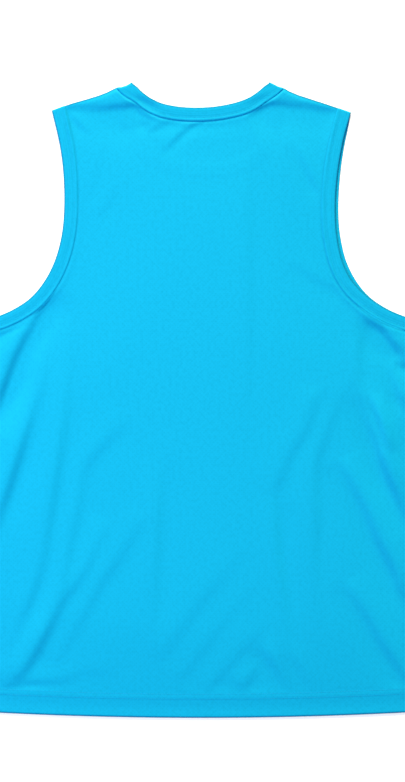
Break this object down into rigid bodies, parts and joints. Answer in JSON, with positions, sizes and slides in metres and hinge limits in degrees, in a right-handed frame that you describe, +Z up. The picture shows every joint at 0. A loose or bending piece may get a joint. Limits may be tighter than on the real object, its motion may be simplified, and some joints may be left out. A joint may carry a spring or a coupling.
{
  "type": "training tank top",
  "caption": "Sleeveless mesh-knit training top laid flat with its back up, with a bound neck, bound armholes and a turned-up hem.",
  "frame": {"origin": "on the surface that the garment lies on, under the middle of its bounding box", "axes": "+X across the garment to the right of the picture, +Y from the hem to the neck, +Z up out of the surface, through the front and then the back"},
  "size_m": [0.524, 0.7216, 0.0068],
  "materials": {
    "mesh_knit": "bright blue polyester micro-mesh knit, matt with a faint sheen",
    "band_knit": "bright blue folded knit binding, matt, with fine ribs along it",
    "thread": "bright blue polyester sewing thread, satin"
  },
  "bodies": {
    "root": {"back_panel": "mesh_knit", "front_panel": "mesh_knit", "neckband": "band_knit", "left_armhole_band": "band_knit", "right_armhole_band": "band_knit"}
  },
  "joints": []
}
